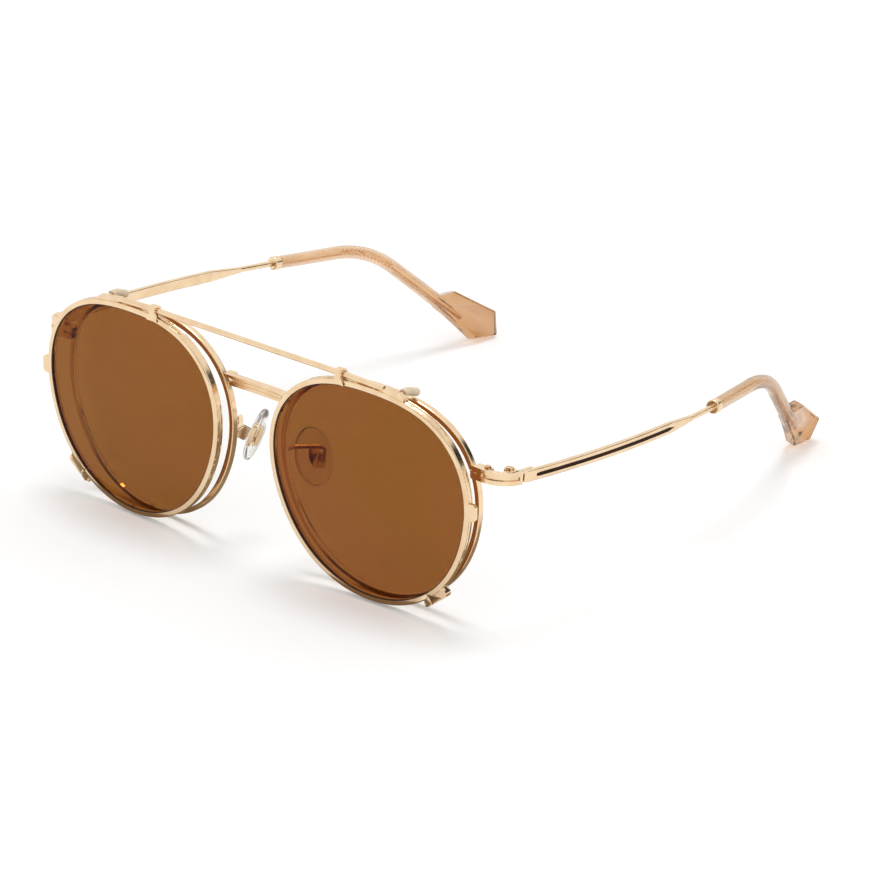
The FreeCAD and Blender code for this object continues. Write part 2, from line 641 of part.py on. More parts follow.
def temple_leaf_local():
    """Leaf on the temple with the middle knuckle, free to turn on the screw."""
    half = MIDDLE_KNUCKLE / 2
    inner = HINGE_OFFSET - LEAF_THICKNESS
    clear = KNUCKLE_RADIUS + 0.15
    plate = box(inner, HINGE_OFFSET, clear, clear + LEAF_LENGTH, -LEAF_HEIGHT / 2, LEAF_HEIGHT / 2)
    web = box(0.3, HINGE_OFFSET - WEB_BACK, JOINT_GAP / 2, clear + 0.1, -half, half)
    web = web.cut(Part.makeCylinder(HINGE_SCREW_RADIUS + RUNNING_CLEARANCE, 4, V(0, 0, -2)))
    leaf = plate.fuse([knuckle(-half, half, HINGE_SCREW_RADIUS + RUNNING_CLEARANCE), web])
    return leaf.removeSplitter()


def hinge_screw_local():
    top = HINGE_HEIGHT / 2
    shaft = Part.makeCylinder(HINGE_SCREW_RADIUS, HINGE_HEIGHT, V(0, 0, -top))
    head = Part.makeCylinder(HINGE_HEAD_RADIUS, HINGE_HEAD_HEIGHT, V(0, 0, top))
    slot = box(-2, 2, -0.1, 0.1, top + HINGE_HEAD_HEIGHT / 2, top + 2)
    return shaft.fuse(head).cut(slot)


# ---------------------------------------------------------------- endpiece
def parallel(points, offset):
    """Plan polyline moved sideways, to the right of its direction."""
    result = []
    last = len(points) - 1
    for i, point in enumerate(points):
        before = (points[max(i, 1)] - points[max(i, 1) - 1]).normalize()
        after = (points[min(i + 1, last)] - points[min(i + 1, last) - 1]).normalize()
        middle = (before + after).normalize()
        reach = offset / math.cos(before.getAngle(after) / 2)
        result.append(point + V(middle.y, -middle.x, 0) * reach)
    return result


def plan_band(points, radius, inner, outer, z0, z1):
    """Solid along a plan polyline with one rounded corner, between two sideways offsets."""
    low = rounded_path(parallel(points, inner), [radius + inner])
    high = rounded_path(parallel(points, outer), [radius + outer])
    ends = [Part.LineSegment(low.Vertexes[0].Point, high.Vertexes[0].Point).toShape(),
            Part.LineSegment(low.Vertexes[-1].Point, high.Vertexes[-1].Point).toShape()]
    face = Part.Face(Part.Wire(Part.__sortEdges__(low.Edges + high.Edges + ends)))
    face.translate(V(0, 0, z0))
    return face.extrude(V(0, 0, z1 - z0))


def endpiece_points():
    """Middle line in plan: from the front of the rim, round the turn, to the joint."""
    on_rim = V(ENDPIECE_ON_RIM, ENDPIECE_SUNK - ENDPIECE_THICKNESS / 2, 0)
    start = HINGE.inverse().multVec(OPTICAL_LENS.multVec(on_rim + V(0, 0, 10)))
    end = V(HINGE_OFFSET + ENDPIECE_THICKNESS / 2, JOINT_BACK - JOINT_GAP / 2, 0)
    return [V(start.x, start.y, 0), ENDPIECE_TURN, end]


def endpiece_band(inner, outer, z0, z1):
    return plan_band(endpiece_points(), ENDPIECE_CORNER, inner, outer, z0, z1)


def endpiece_local():
    """Bent band from the rim to the hinge: forked at the rim, grooved along its outside."""
    half = ENDPIECE_THICKNESS / 2
    height = ENDPIECE_HEIGHT / 2
    start = endpiece_points()[0]
    band = endpiece_band(-half, half, -height, height)
    groove = endpiece_band(half - ENDPIECE_GROOVE_DEPTH, half + 1, -ENDPIECE_GROOVE / 2,
                           ENDPIECE_GROOVE / 2)
    groove = groove.cut(box(0, 9, JOINT_BACK - JOINT_GAP - 0.7, 9, -9, 9))
    groove = groove.cut(box(start.x - 1, start.x + ENDPIECE_FORK + 1.4, -12, 0, -9, 9))
    fork_tip = start.x + ENDPIECE_FORK
    fork = box(start.x - 1, fork_tip, start.y - 2, start.y + 3, -ENDPIECE_GROOVE / 2,
               ENDPIECE_GROOVE / 2)
    fork_end = Part.makeCylinder(ENDPIECE_GROOVE / 2, 5, V(fork_tip, start.y - 2, 0), Y_AXIS)
    past_joint = box(-9, 9, JOINT_BACK - JOINT_GAP / 2, 9, -9, 9)
    return band.cut(groove).cut(fork).cut(fork_end).cut(past_joint)


def rim_block_local():
    """Closing block of the optical rim behind the endpiece, in the hinge's frame."""
    half = ENDPIECE_HEIGHT / 2 - 0.1
    x1 = RIM_SCREW_AT.x + 1.1
    y0 = RIM_SCREW_AT.y - RIM_BLOCK_DEPTH / 2
    block = box(x1 - RIM_BLOCK_LENGTH, x1, y0 - 0.8, y0 + RIM_BLOCK_DEPTH, -half, half)
    block = fillet_where(block, 0.4, lambda p: abs(p.z) < 0.01 and p.x > x1 - 0.01 and p.y > y0)
    return largest(block.cut(endpiece_local()))


def rim_screw_local():
    half = ENDPIECE_HEIGHT / 2 - 0.1
    at = RIM_SCREW_AT
    shaft = Part.makeCylinder(RIM_SCREW_RADIUS, 2 * half, at - V(0, 0, half))
    head = Part.makeCylinder(RIM_SCREW_HEAD, 0.45, at + V(0, 0, half))
    slot = box(at.x - 2, at.x + 2, at.y - 0.1, at.y + 0.1, half + 0.25, half + 2)
    return shaft.fuse(head).cut(slot)


def eyewire():
    """Optical rim, closed by a split block behind the endpiece."""
    rim = grooved_rim(-FRAME_INSET, EYEWIRE_WIDTH, EYEWIRE_DEPTH)
    rim = moved(rim, OPTICAL_LENS)
    inside = moved(disc(-FRAME_INSET + GROOVE_DEPTH, -3, 6), OPTICAL_LENS)
    block = moved(rim_block_local(), HINGE).cut(inside)
    at = RIM_SCREW_AT
    slit = moved(box(at.x - 7, at.x + 3, at.y - 5, at.y + 5, -SAW_CUT / 2, SAW_CUT / 2), HINGE)
    return rim.fuse(block).cut(slit).cut(moved(rim_screw_local(), HINGE))


# ---------------------------------------------------------------- temple
TEMPLE_CENTRE_X = HINGE_OFFSET + TEMPLE_THICKNESS / 2


def temple_points():
    return [V(TEMPLE_CENTRE_X, JOINT_BACK + JOINT_GAP / 2, 0), V(TEMPLE_MID_OUT, TEMPLE_MID, 0),
            V(TIP_START_X, TIP_START, 0)]


def strip(inner, outer):
    """Plan band along the temple between two sideways offsets, full height."""
    return plan_band(temple_points(), TEMPLE_BOW_RADIUS, inner, outer, -5, 5)


def side_profile(points):
    """Prism across the temple from (y, z) corners."""
    reach = TIP_START
    corners = [V(-reach, y, z) for y, z in points]
    return Part.Face(Part.makePolygon(corners + [corners[0]])).extrude(V(2 * reach, 0, 0))


def temple_bar_local():
    """Flat bar that tapers to a round neck, with a slot for the inlay in its outer face."""
    half = TEMPLE_THICKNESS / 2
    high = TEMPLE_HEIGHT / 2
    taper_end = BAR_LENGTH + TAPER_LENGTH
    start = JOINT_BACK + JOINT_GAP / 2
    shape = side_profile([
        (start, -high * 0.75), (start + TEMPLE_NOSE, -high), (BAR_LENGTH, -high),
        (taper_end, -NECK_RADIUS * 0.9), (taper_end, NECK_RADIUS * 0.9), (BAR_LENGTH, high),
        (start + TEMPLE_NOSE, high), (start, high * 0.75)])
    bar = strip(-half, half).common(shape)
    bar = fillet_where(bar, 0.3, lambda p: 6 < p.y < BAR_LENGTH - 6 and abs(abs(p.z) - high) < 0.01)
    neck_path = neck_points()
    neck = wire_rod(neck_path, [], NECK_RADIUS)
    return bar.fuse(neck)


def neck_points():
    before = (temple_points()[2] - temple_points()[1]).normalize()
    tip = temple_points()[2]
    return [tip - before * (TIP_START - BAR_LENGTH - TAPER_LENGTH + 1.2), tip]


def inlay_local():
    half = TEMPLE_THICKNESS / 2
    shape = side_profile([
        (INLAY_START, -INLAY_HEIGHT * 0.35), (INLAY_START + 1.0, -INLAY_HEIGHT / 2),
        (BAR_LENGTH - 1.0, -INLAY_HEIGHT / 2), (BAR_LENGTH + 1.5, 0),
        (BAR_LENGTH - 1.0, INLAY_HEIGHT / 2), (INLAY_START + 1.0, INLAY_HEIGHT / 2),
        (INLAY_START, INLAY_HEIGHT * 0.35)])
    return strip(half - INLAY_DEPTH, half).common(shape)


def bend_points():
    """Ferrule, bend behind the ear, and the direction of the drop."""
    tip = temple_points()[2]
    corner = V(BEND_X, BEND_LENGTH, 0)
    down = math.radians(BEND_ANGLE)
    inward = math.radians(TIP_INWARD)
    drop = V(-math.sin(inward) * math.cos(down), math.cos(inward) * math.cos(down), -math.sin(down))
    return tip, corner, drop


def ferrule_local():
    tip, corner, _ = bend_points()
    along = (corner - tip).normalize()
    body = Part.makeCylinder(FERRULE_RADIUS, FERRULE_LENGTH, tip, along)
    body = fillet_where(body, 0.35, lambda p: True)
    return body


def core_wire_local():
    tip, corner, drop = bend_points()
    along = (corner - tip).normalize()
    return wire_rod([tip, corner, corner + drop * CORE_LENGTH], [BEND_RADIUS], NECK_RADIUS)


def paddle_local():
    """Five-sided blade at the end of the tip, twisted about the tip's own line."""
    _, corner, drop = bend_points()
    lateral = V(drop.y, -drop.x, 0).normalize()
    normal = FreeCAD.Rotation(drop, PADDLE_TWIST).multVec(lateral)
    up = normal.cross(drop)
    if up.z < 0:
        up = up * -1
    low = TIP_RADIUS_END
    shape = [(26.0, -low * 0.9), (26.0, low * 0.9), (29.2, 4.4), (43.4, 6.7), (46.4, 1.8),
             (40.2, -2.6), (31.0, -low)]
    base = [corner + drop * s + up * t - normal * (PADDLE_THICKNESS / 2) for s, t in shape]
    blade = Part.Face(Part.makePolygon(base + [base[0]])).extrude(normal * PADDLE_THICKNESS)
    middle = corner + drop * 38
    return blade.makeFillet(PADDLE_ROUND, [e for e in blade.Edges
                            if (e.CenterOfMass - middle).dot(drop) > -8.5])


def tip_local():
    """Acetate tip: tapered tube over the core wire, bend and paddle, bored for the wire."""
    tip, corner, drop = bend_points()
    along = (corner - tip).normalize()
    start = tip + along * FERRULE_LENGTH
    tube = wire_rod([start, corner, corner + drop * TIP_TUBE_LENGTH], [BEND_RADIUS],
                    TIP_RADIUS_START, TIP_RADIUS_END)
    return tube.fuse(paddle_local()).cut(core_wire_local())


# ---------------------------------------------------------------- assembly
def side_nodes():
    """Pieces that exist once on each side, built for the wearer's left (+X)."""
    rim = moved(clip_rim(), CLIP_LENS)
    bar = brow_bar()
    hook = top_hook().cut(rim)
    wire = eyewire()
    arm_box = moved(pad_box_local(), PAD)
    end = seat_on(moved(endpiece_local(), HINGE), wire, EYEWIRE_WIDTH / 2 - FRAME_INSET,
                  OPTICAL_LENS)
    bar_local = temple_bar_local()
    ferrule = ferrule_local().cut(core_wire_local())
    inlay = inlay_local()
    temple_leaf = temple_leaf_local()
    flat = bar_local.cut(inlay)
    return {
        "clip_rim": rim,
        "clip_lens": moved(sun_lens(), CLIP_LENS),
        "clip_rim_screw": moved(lock_screw_body(), CLIP_LENS),
        "brow_post": brow_post().cut(rim),
        "top_hook": hook.cut(bar),
        "hook_sleeve": hook_sleeve().cut(hook),
        "side_tab": seat_on(moved(side_tab(), CLIP_LENS), rim, CLIP_RIM_WIDTH / 2, CLIP_LENS),
        "eyewire": wire,
        "optical_lens": moved(optical_lens(), OPTICAL_LENS),
        "pad_arm": largest(pad_arm().cut(wire).cut(arm_box)),
        "pad_box": arm_box,
        "pad_screw": moved(pad_screw_local(), PAD),
        "pad_stem": moved(pad_stem_local(), PAD),
        "nose_pad": nose_pad(),
        "endpiece": end,
        "rim_screw": moved(rim_screw_local(), HINGE),
        "front_hinge_leaf": largest(moved(front_leaf_local(), HINGE).cut(end)),
        "hinge_screw": moved(hinge_screw_local(), HINGE),
        "temple_hinge_leaf": moved(temple_leaf.cut(flat), HINGE),
        "temple_bar": moved(flat, HINGE),
        "temple_inlay": moved(inlay, HINGE),
        "temple_ferrule": moved(ferrule, HINGE),
        "core_wire": moved(core_wire_local().cut(bar_local), HINGE),
        "temple_tip": moved(tip_local(), HINGE),
    }


def build():
    nodes = {}
    for name, shape in side_nodes().items():
        nodes[name + "_left"] = shape
        nodes[name + "_right"] = mirrored(shape)
    nodes["brow_bar"] = brow_bar().cut(nodes["clip_rim_left"]).cut(nodes["clip_rim_right"])
    inner = EYEWIRE_WIDTH / 2 - FRAME_INSET
    half_seated = seat_on(bridge(), nodes["eyewire_left"], inner, OPTICAL_LENS)
    nodes["bridge"] = seat_on(mirrored(half_seated), nodes["eyewire_left"], inner, OPTICAL_LENS)
    return nodes


def main():
    nodes = build()
    whole = Part.makeCompound(list(nodes.values())).optimalBoundingBox(True, False)
    settle = V(-(whole.XMin + whole.XMax) / 2, -(whole.YMin + whole.YMax) / 2, -whole.ZMin)
    os.makedirs("parts", exist_ok=True)
    print("shift to the origin: %.4f %.4f %.4f" % (settle.x, settle.y, settle.z))
    print("size: %.2f x %.2f x %.2f" % (whole.XLength, whole.YLength, whole.ZLength))
    for name, shape in sorted(nodes.items()):
        shape = shape.copy()
        shape.translate(settle)
        box_of = shape.optimalBoundingBox(True, False)
        print("%-24s solids %d valid %s volume %9.3f  x %.1f %.1f y %.1f %.1f z %.2f %.2f" % (
            name, len(shape.Solids), shape.isValid(), shape.Volume, box_of.XMin, box_of.XMax,
            box_of.YMin, box_of.YMax, box_of.ZMin, box_of.ZMax))
        shape.exportStep("parts/" + name + ".step")


main()
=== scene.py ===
# %% [markdown]
# # Clip-on sunglasses on their round wire frame
#
# The set is two things in one: a plain optical frame with clear lenses, and a clip with two
# brown lenses that hangs on the frame by two hooks. The solids of both come from the packed
# model and stay as they are. This file gives them their metal, glass and acetate, makes anew
# the few forms that need finer work, and lights them on a pale table.

import math

import bmesh
import bpy
from mathutils import Matrix, Vector


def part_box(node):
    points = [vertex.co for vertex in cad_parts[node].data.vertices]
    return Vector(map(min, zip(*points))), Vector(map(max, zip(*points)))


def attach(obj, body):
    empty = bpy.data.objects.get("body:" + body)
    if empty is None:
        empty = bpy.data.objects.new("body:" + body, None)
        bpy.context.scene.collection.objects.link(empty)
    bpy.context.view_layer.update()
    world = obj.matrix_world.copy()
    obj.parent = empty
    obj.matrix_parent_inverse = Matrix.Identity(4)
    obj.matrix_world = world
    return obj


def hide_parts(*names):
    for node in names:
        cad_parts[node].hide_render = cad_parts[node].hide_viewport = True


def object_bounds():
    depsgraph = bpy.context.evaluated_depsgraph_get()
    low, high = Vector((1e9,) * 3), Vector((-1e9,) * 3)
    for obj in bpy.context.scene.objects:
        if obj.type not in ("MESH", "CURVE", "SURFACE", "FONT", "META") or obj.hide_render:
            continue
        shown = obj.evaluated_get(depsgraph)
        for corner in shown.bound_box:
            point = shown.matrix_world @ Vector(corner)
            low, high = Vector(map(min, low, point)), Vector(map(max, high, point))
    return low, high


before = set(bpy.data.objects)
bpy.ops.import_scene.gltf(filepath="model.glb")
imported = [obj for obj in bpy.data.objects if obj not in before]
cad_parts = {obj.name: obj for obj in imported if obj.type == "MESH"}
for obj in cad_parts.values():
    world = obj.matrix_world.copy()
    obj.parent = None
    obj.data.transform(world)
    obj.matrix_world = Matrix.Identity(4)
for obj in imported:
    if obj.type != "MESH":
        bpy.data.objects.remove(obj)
cad_low, cad_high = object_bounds()
MM = 0.001
SIDES = {"left": 1, "right": -1}
print("size in mm:", [round(v / MM, 1) for v in cad_high - cad_low])

# %% [markdown]
# ## The camera
#
# A camera can be typed in as a place and three turns, but those numbers say little. Here it is
# set as a photographer would set it: how far round the set, how far above the table, a slight
# roll, how far away, and the point it looks at. A long lens keeps both temples nearly parallel.

# %% Camera
VIEW_ROUND = math.radians(37.682)
VIEW_ABOVE = math.radians(22.0)
VIEW_ROLL = math.radians(2.826)
VIEW_DISTANCE = 1.0458
VIEW_LENS = 202.4
VIEW_AT = Vector((0.02436, -0.03755, 0.02559))


def camera_axes():
    """The directions of the picture's right, its top and the way back to the camera."""
    back = Vector((math.sin(VIEW_ROUND) * math.cos(VIEW_ABOVE),
                   -math.cos(VIEW_ROUND) * math.cos(VIEW_ABOVE),
                   math.sin(VIEW_ABOVE)))
    level = Vector((math.cos(VIEW_ROUND), math.sin(VIEW_ROUND), 0))
    level.rotate(Matrix.Rotation(VIEW_ROLL, 3, back))
    return level, back.cross(level), back


picture_right, picture_up, picture_back = camera_axes()
camera_data = bpy.data.cameras.new("camera")
camera_data.lens = VIEW_LENS
camera_data.clip_end = 20
camera = bpy.data.objects.new("camera", camera_data)
bpy.context.scene.collection.objects.link(camera)
camera.matrix_world = Matrix.Translation(VIEW_AT + picture_back * VIEW_DISTANCE) @ Matrix(
    (picture_right, picture_up, picture_back)).transposed().to_4x4()
bpy.context.scene.camera = camera
bpy.context.scene.view_settings.view_transform = "Standard"
print("camera at", [round(v, 3) for v in camera.matrix_world.translation])

# %% [markdown]
# ## Writing a material as sums
#
# A material is a tree of nodes, and a tree made call by call is hard to read. The small class
# below wraps one output of a node, so that `1 - mask` or `a * 3` adds the Math node by itself.
# The second class is the material, with one method that adds any other node.

# %% Sums on sockets
class Wire:
    """One output of a node. Sums on it add Math nodes to its material."""

    def __init__(self, paint, socket):
        self.paint = paint
        self.socket = socket

    def math(self, operation, *values):
        return self.paint.add("ShaderNodeMath", {"operation": operation},
                              dict(enumerate(values)))

    def __add__(self, other):
        return self.math("ADD", self, other)

    def __radd__(self, other):
        return self.math("ADD", other, self)

    def __sub__(self, other):
        return self.math("SUBTRACT", self, other)

    def __rsub__(self, other):
        return self.math("SUBTRACT", other, self)

    def __mul__(self, other):
        return self.math("MULTIPLY", self, other)

    def __rmul__(self, other):
        return self.math("MULTIPLY", other, self)

    def between(self, low, high):
        """0 below low and 1 above high, with a soft step between them."""
        return self.paint.add("ShaderNodeMapRange", {"interpolation_type": "SMOOTHSTEP"},
                              {"Value": self, "From Min": low, "From Max": high})


class Paint:
    """A material under construction."""

    def __init__(self, name):
        self.material = bpy.data.materials.new(name)
        self.material.use_nodes = True
        self.tree = self.material.node_tree
        self.tree.nodes.clear()

    def add(self, kind, settings=None, values=None, out=0):
        """Adds a node: its settings first, then numbers, colours or links on its inputs."""
        node = self.tree.nodes.new(kind)
        for name, value in (settings or {}).items():
            if name == "stops":
                set_stops(node.color_ramp, value)
            else:
                setattr(node, name, value)
        for name, value in (values or {}).items():
            if isinstance(value, Wire):
                self.tree.links.new(value.socket, node.inputs[name])
            else:
                node.inputs[name].default_value = value
        return Wire(self, node.outputs[out])

    def place(self):
        """Where a point is on the object itself, in metres."""
        return self.add("ShaderNodeTexCoord", out="Object")

    def noise(self, scale, detail=3.0, place=None):
        return self.add("ShaderNodeTexNoise", None,
                        {"Vector": place or self.place(), "Scale": scale, "Detail": detail},
                        "Fac")

    def stretched(self, x, y, z):
        """The place, scaled unevenly so that a pattern on it runs along one direction."""
        return self.add("ShaderNodeMapping", None,
                        {"Vector": self.place(), "Scale": (x, y, z)})

    def mix(self, share, first, second):
        """A colour between two."""
        return self.add("ShaderNodeMix", {"data_type": "RGBA"},
                        {0: share, 6: first, 7: second}, out=2)

    def bump(self, height, distance, strength=1.0):
        return self.add("ShaderNodeBump", None,
                        {"Height": height, "Distance": distance, "Strength": strength})

    def finish(self, shader):
        self.tree.links.new(shader.socket,
                            self.tree.nodes.new("ShaderNodeOutputMaterial").inputs[0])
        return self.material


def set_stops(ramp, stops):
    """Gives a colour ramp its stops, as pairs of a place and a colour."""
    while len(ramp.elements) < len(stops):
        ramp.elements.new(1.0)
    for element, (place, colour) in zip(ramp.elements, stops):
        element.position = place
        element.color = colour


def shade(red, green, blue):
    """A colour as a painter reads it off a screen, 0 to 255, turned into linear light."""
    def linear(value):
        value /= 255
        return value / 12.92 if value <= 0.04045 else ((value + 0.055) / 1.055) ** 2.4
    return (linear(red), linear(green), linear(blue), 1.0)


print("gold reads", [round(v, 3) for v in shade(246, 220, 178)])

# %% [markdown]
# ## The table and the light
#
# Polished metal shows what stands round it, so its look is made by the room and not by its
# colour. The room here is white, with one soft lamp nearly overhead, and three cards that only
# reflections can see. Two dark ones stand round the set and draw the thin dark lines that make
# wire look round. A grey one lies under the front as painted shade: in reflections it stands in
# for the shadowed table, and it deepens the lower edges of the rims.

# %% Table
AMBIENT = 0.7
FLOOR_RADIUS = 6.0
FLOOR_WHITE = (0.93, 0.93, 0.93, 1.0)
FLOOR_LIFT = 0.15
FLOOR_BELOW = 0.05 * MM


def seen_directly(paint):
    """1 for rays from the camera and for those that metal and glass send on."""
    path = [paint.add("ShaderNodeLightPath", out=name)
            for name in ("Is Camera Ray", "Is Glossy Ray", "Is Transmission Ray")]
    return path[0].math("MAXIMUM", path[0], path[1].math("MAXIMUM", path[1], path[2]))


def floor_paint():
    """Pale matt table, which keeps the shadow and is lifted to white where it is looked at."""
    paint = Paint("table")
    lifted = seen_directly(paint) * FLOOR_LIFT
    return paint.finish(paint.add("ShaderNodeBsdfPrincipled", None, {
        "Base Color": FLOOR_WHITE, "Roughness": 0.9, "Specular IOR Level": 0.0,
        "Emission Color": (1.0, 1.0, 1.0, 1.0), "Emission Strength": lifted}))


def flat_sheet(name, make):
    """A stage object from a bmesh that make() fills."""
    bm = bmesh.new()
    make(bm)
    mesh = bpy.data.meshes.new(name)
    bm.to_mesh(mesh)
    bm.free()
    sheet = bpy.data.objects.new(name, mesh)
    bpy.context.scene.collection.objects.link(sheet)
    return sheet


floor = flat_sheet("table", lambda bm: bmesh.ops.create_circle(
    bm, cap_ends=True, segments=96, radius=FLOOR_RADIUS))
floor.location.z = cad_low.z - FLOOR_BELOW
floor.data.materials.append(floor_paint())

world = bpy.data.worlds.new("room")
bpy.context.scene.world = world
world.use_nodes = True
room = world.node_tree
room.nodes.clear()
print("table radius", FLOOR_RADIUS, "m")

# %% Room and lamps
class Room(Paint):
    """The world's nodes, built with the same methods as a material's."""

    def __init__(self, tree):
        self.tree = tree


air = Room(room)
light = seen_directly(air) * (1 - AMBIENT) + AMBIENT
sky = air.add("ShaderNodeBackground", None, {"Color": (1.0, 1.0, 1.0, 1.0), "Strength": light})
room.links.new(sky.socket, room.nodes.new("ShaderNodeOutputWorld").inputs[0])


def lamp(name, toward, strength, softness):
    """A far lamp that shines along one direction, with a soft edge to its shadows."""
    data = bpy.data.lights.new(name, "SUN")
    data.energy = strength
    data.angle = math.radians(softness)
    found = bpy.data.objects.new(name, data)
    bpy.context.scene.collection.objects.link(found)
    found.matrix_world = Vector(toward).to_track_quat("-Z", "Y").to_matrix().to_4x4()


KEY_TOWARD = (0.10, -0.12, -1.0)
KEY_STRENGTH = 0.95
KEY_SOFTNESS = 22
lamp("key", KEY_TOWARD, KEY_STRENGTH, KEY_SOFTNESS)
print("lamp is up")

# %% Cards
CARD_BELOW = 0.02 * MM
CARD_DARK = (0.02, 0.018, 0.015, 1.0)
CARD_GREY = (0.34, 0.28, 0.2, 1.0)
UNDER_PLACE = Vector((-0.025, -0.042, cad_low.z - CARD_BELOW))
UNDER_SIZE = (0.19, 0.062, 1, 1)


def card_paint(name, colour):
    paint = Paint(name)
    return paint.finish(paint.add("ShaderNodeBsdfPrincipled", None, {
        "Base Color": colour, "Roughness": 1.0, "Specular IOR Level": 0.0}))


def mirrored_sheet(name, place, finish):
    """A sheet a metre wide, put in place and sized by a matrix, that only reflections see."""
    sheet = flat_sheet(name, lambda bm: bmesh.ops.create_grid(
        bm, x_segments=1, y_segments=1, size=0.5))
    sheet.matrix_world = place
    sheet.data.materials.append(finish)
    for ray in ("camera", "diffuse", "transmission", "shadow"):
        setattr(sheet, "visible_" + ray, False)


def card(name, along, above, distance, width, height):
    """An upright card facing the set, at a bearing round it and a height above the table."""
    bearing = math.radians(along)
    out = Vector((math.sin(bearing), -math.cos(bearing), 0))
    place = out * distance + Vector((0, 0, above))
    facing = (-place).to_track_quat("Z", "Y").to_matrix().to_4x4()
    mirrored_sheet(name, Matrix.Translation(place) @ facing
                   @ Matrix.Diagonal((width, height, 1, 1)), dark_card)


dark_card = card_paint("dark_card", CARD_DARK)
grey_card = card_paint("grey_card", CARD_GREY)
# The grey card under the front is painted shade, seen only in reflections.
mirrored_sheet("card_under", Matrix.Translation(UNDER_PLACE) @ Matrix.Diagonal(UNDER_SIZE),
               grey_card)
card("card_front", along=20, above=0.55, distance=1.6, width=2.2, height=0.55)
card("card_side", along=146, above=0.66, distance=1.6, width=1.5, height=0.62)
print("cards are up")

# %% [markdown]
# ## The metal
#
# The wire is a pale champagne gold: plated, polished, and wiped thousands of times. A plain
# metal shader looks like plastic foil, because real polish is uneven. Fine noise changes the
# roughness a little, a drawn-out noise gives the faint polishing lines, and the colour leans
# to rose where the plating is thinner.

# %% Gold
GOLD = shade(240, 213, 176)
GOLD_ROSE = shade(224, 186, 144)


def metal(name, pale, deep, smooth, rough, grain):
    """Polished plated metal with uneven polish and faint lines along grain."""
    paint = Paint(name)
    patches = paint.noise(260, 2.0).between(0.35, 0.7)
    lines = paint.noise(1.0, 2.0, paint.stretched(*grain))
    wear = paint.noise(2600, 4.0)
    colour = paint.mix(patches * 0.45, pale, deep)
    rough_here = smooth + (rough - smooth) * (lines * 0.6 + wear * 0.4)
    return paint.finish(paint.add("ShaderNodeBsdfPrincipled", None, {
        "Base Color": colour, "Metallic": 1.0, "Roughness": rough_here,
        "Normal": paint.bump(lines * 0.7 + wear * 0.3, 0.000004, 0.6)}))


gold = metal("champagne_gold", GOLD, GOLD_ROSE, 0.10, 0.26, (9000, 900, 9000))
gold_drawn = metal("champagne_gold_drawn", GOLD, GOLD_ROSE, 0.12, 0.30, (12000, 300, 12000))
core_gold = metal("core_gold", shade(252, 240, 220), shade(244, 226, 198), 0.2, 0.26,
                  (900, 200, 900))
print("metals:", gold.name, gold_drawn.name, core_gold.name)

# %% [markdown]
# ## Glass, silicone and acetate
#
# All three let light through. The sun lens is brown all the way through, the optical lens is
# clear, the nose pads are a soft clear silicone, and the ends of the temples are a peach
# acetate in which the wire core shows. Real glass throws a bright shadow with a tint, which a
# path tracer finds slowly, so rays from the lamps pass through a Transparent shader instead.
# Glass of the true index, about 1.5, would mirror the white room as a pale veil over the brown,
# so the lenses get a lower index, which stands in for a coating against reflections.

# %% See-through paints
SUN_IOR = 1.18
CLEAR_IOR = 1.3
SILICONE_IOR = 1.41
ACETATE_IOR = 1.42


def see_through(paint, colour, shadow, roughness, ior, bump=None):
    """Clear solid: it bends what is seen through it, and lets the lamps pass with a tint."""
    values = {"Base Color": colour, "Roughness": roughness, "IOR": ior,
              "Transmission Weight": 1.0}
    if bump is not None:
        values["Normal"] = bump
    solid = paint.add("ShaderNodeBsdfPrincipled", None, values)
    lamps = paint.add("ShaderNodeLightPath", out="Is Shadow Ray")
    clear = paint.add("ShaderNodeBsdfTransparent", None, {"Color": shadow})
    return paint.finish(paint.add("ShaderNodeMixShader", None, {0: lamps, 1: solid, 2: clear}))


def sun_glass():
    """Brown lens with the faint unevenness of a dip-dyed tint, and wiping marks in its tint."""
    paint = Paint("brown_sun_lens")
    drift = paint.noise(38, 1.0).between(0.3, 0.75)
    wiped = paint.noise(1.0, 3.0, paint.stretched(60, 900, 260)).between(0.55, 0.9)
    tint = paint.mix(drift, shade(140, 89, 36), shade(144, 88, 42))
    return see_through(paint, paint.mix(wiped * 0.1, tint, shade(150, 100, 56)),
                       shade(212, 196, 182), 0.0, SUN_IOR)


def optical_glass():
    """Clear lens with a faint warm cast that wiping has left uneven."""
    paint = Paint("clear_lens")
    wiped = paint.noise(1.0, 3.0, paint.stretched(70, 900, 240)).between(0.5, 0.9)
    return see_through(paint, paint.mix(wiped * 0.5, shade(253, 252, 250), shade(250, 250, 247)),
                       shade(248, 246, 243), 0.0, CLEAR_IOR)


def silicone():
    """Clear silicone: soft-edged highlights, a trace of cloud inside."""
    paint = Paint("clear_silicone")
    cloud = paint.noise(420, 3.0)
    skin = paint.noise(1500, 3.0)
    return see_through(paint, paint.mix(cloud, shade(252, 251, 249), shade(238, 235, 230)),
                       shade(240, 238, 235), 0.05 + 0.1 * skin, SILICONE_IOR,
                       paint.bump(skin, 0.00002, 0.4))


PADDLE_FROM = (0.050, 0.062)


def acetate():
    """Peach acetate with slow flow lines along the temple, deeper in the thick paddle."""
    paint = Paint("peach_acetate")
    flow = paint.noise(1.0, 3.0, paint.stretched(260, 45, 260)).between(0.3, 0.7)
    skin = paint.noise(900, 2.0)
    back = paint.add("ShaderNodeSeparateXYZ", None, {"Vector": paint.place()}, out=1)
    arm = paint.mix(flow, shade(238, 208, 178), shade(226, 192, 160))
    paddle = paint.mix(flow, shade(212, 162, 112), shade(202, 150, 102))
    return see_through(paint, paint.mix(back.between(*PADDLE_FROM), arm, paddle),
                       shade(186, 176, 168), 0.10 + 0.03 * skin, ACETATE_IOR,
                       paint.bump(skin, 0.000003, 0.2))


